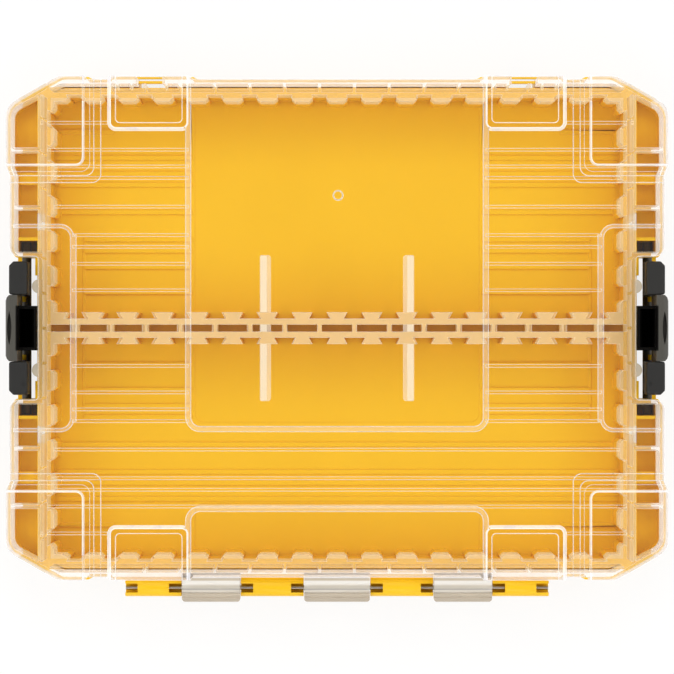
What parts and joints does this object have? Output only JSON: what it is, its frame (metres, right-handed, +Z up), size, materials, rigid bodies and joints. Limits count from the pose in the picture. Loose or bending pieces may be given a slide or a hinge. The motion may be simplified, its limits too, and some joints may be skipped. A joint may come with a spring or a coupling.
{
  "type": "tool case",
  "caption": "Flat hinged tool organiser case with a clear lid, a divided tray with dovetail walls, a rear pin hinge and side latches.",
  "frame": {"origin": "middle of the flat underside of the tray", "axes": "+X to the right along the case's length, +Y away from the hinge, +Z up through the lid"},
  "size_m": [0.3068, 0.2448, 0.056],
  "materials": {
    "tray_plastic": "moulded, semi-gloss",
    "clear_plastic": "clear polycarbonate, glossy",
    "pin_steel": "drawn wire",
    "lever_plastic": "moulded, satin",
    "pad_rubber": "fine grain"
  },
  "bodies": {
    "base": {"base_tray": "tray_plastic", "hinge_pin": "pin_steel"},
    "lid": {"lid": "clear_plastic"},
    "left_latch": {"left_latch_lever": "lever_plastic", "left_latch_rear_pad": "pad_rubber", "left_latch_front_pad": "pad_rubber"},
    "right_latch": {"right_latch_lever": "lever_plastic", "right_latch_rear_pad": "pad_rubber", "right_latch_front_pad": "pad_rubber"}
  },
  "joints": [
    {"name": "lid_hinge", "type": "hinge", "parent": "base", "child": "lid", "pos_m": [0, -0.121, 0.0281], "axis": [1, 0, 0], "range_deg": [0, 180]},
    {"name": "left_latch_hinge", "type": "hinge", "parent": "base", "child": "left_latch", "pos_m": [-0.1458, 0, 0.014], "axis": [0, -1, 0], "range_deg": [0, 95]},
    {"name": "right_latch_hinge", "type": "hinge", "parent": "base", "child": "right_latch", "pos_m": [0.1458, 0, 0.014], "axis": [0, 1, 0], "range_deg": [0, 95]}
  ]
}
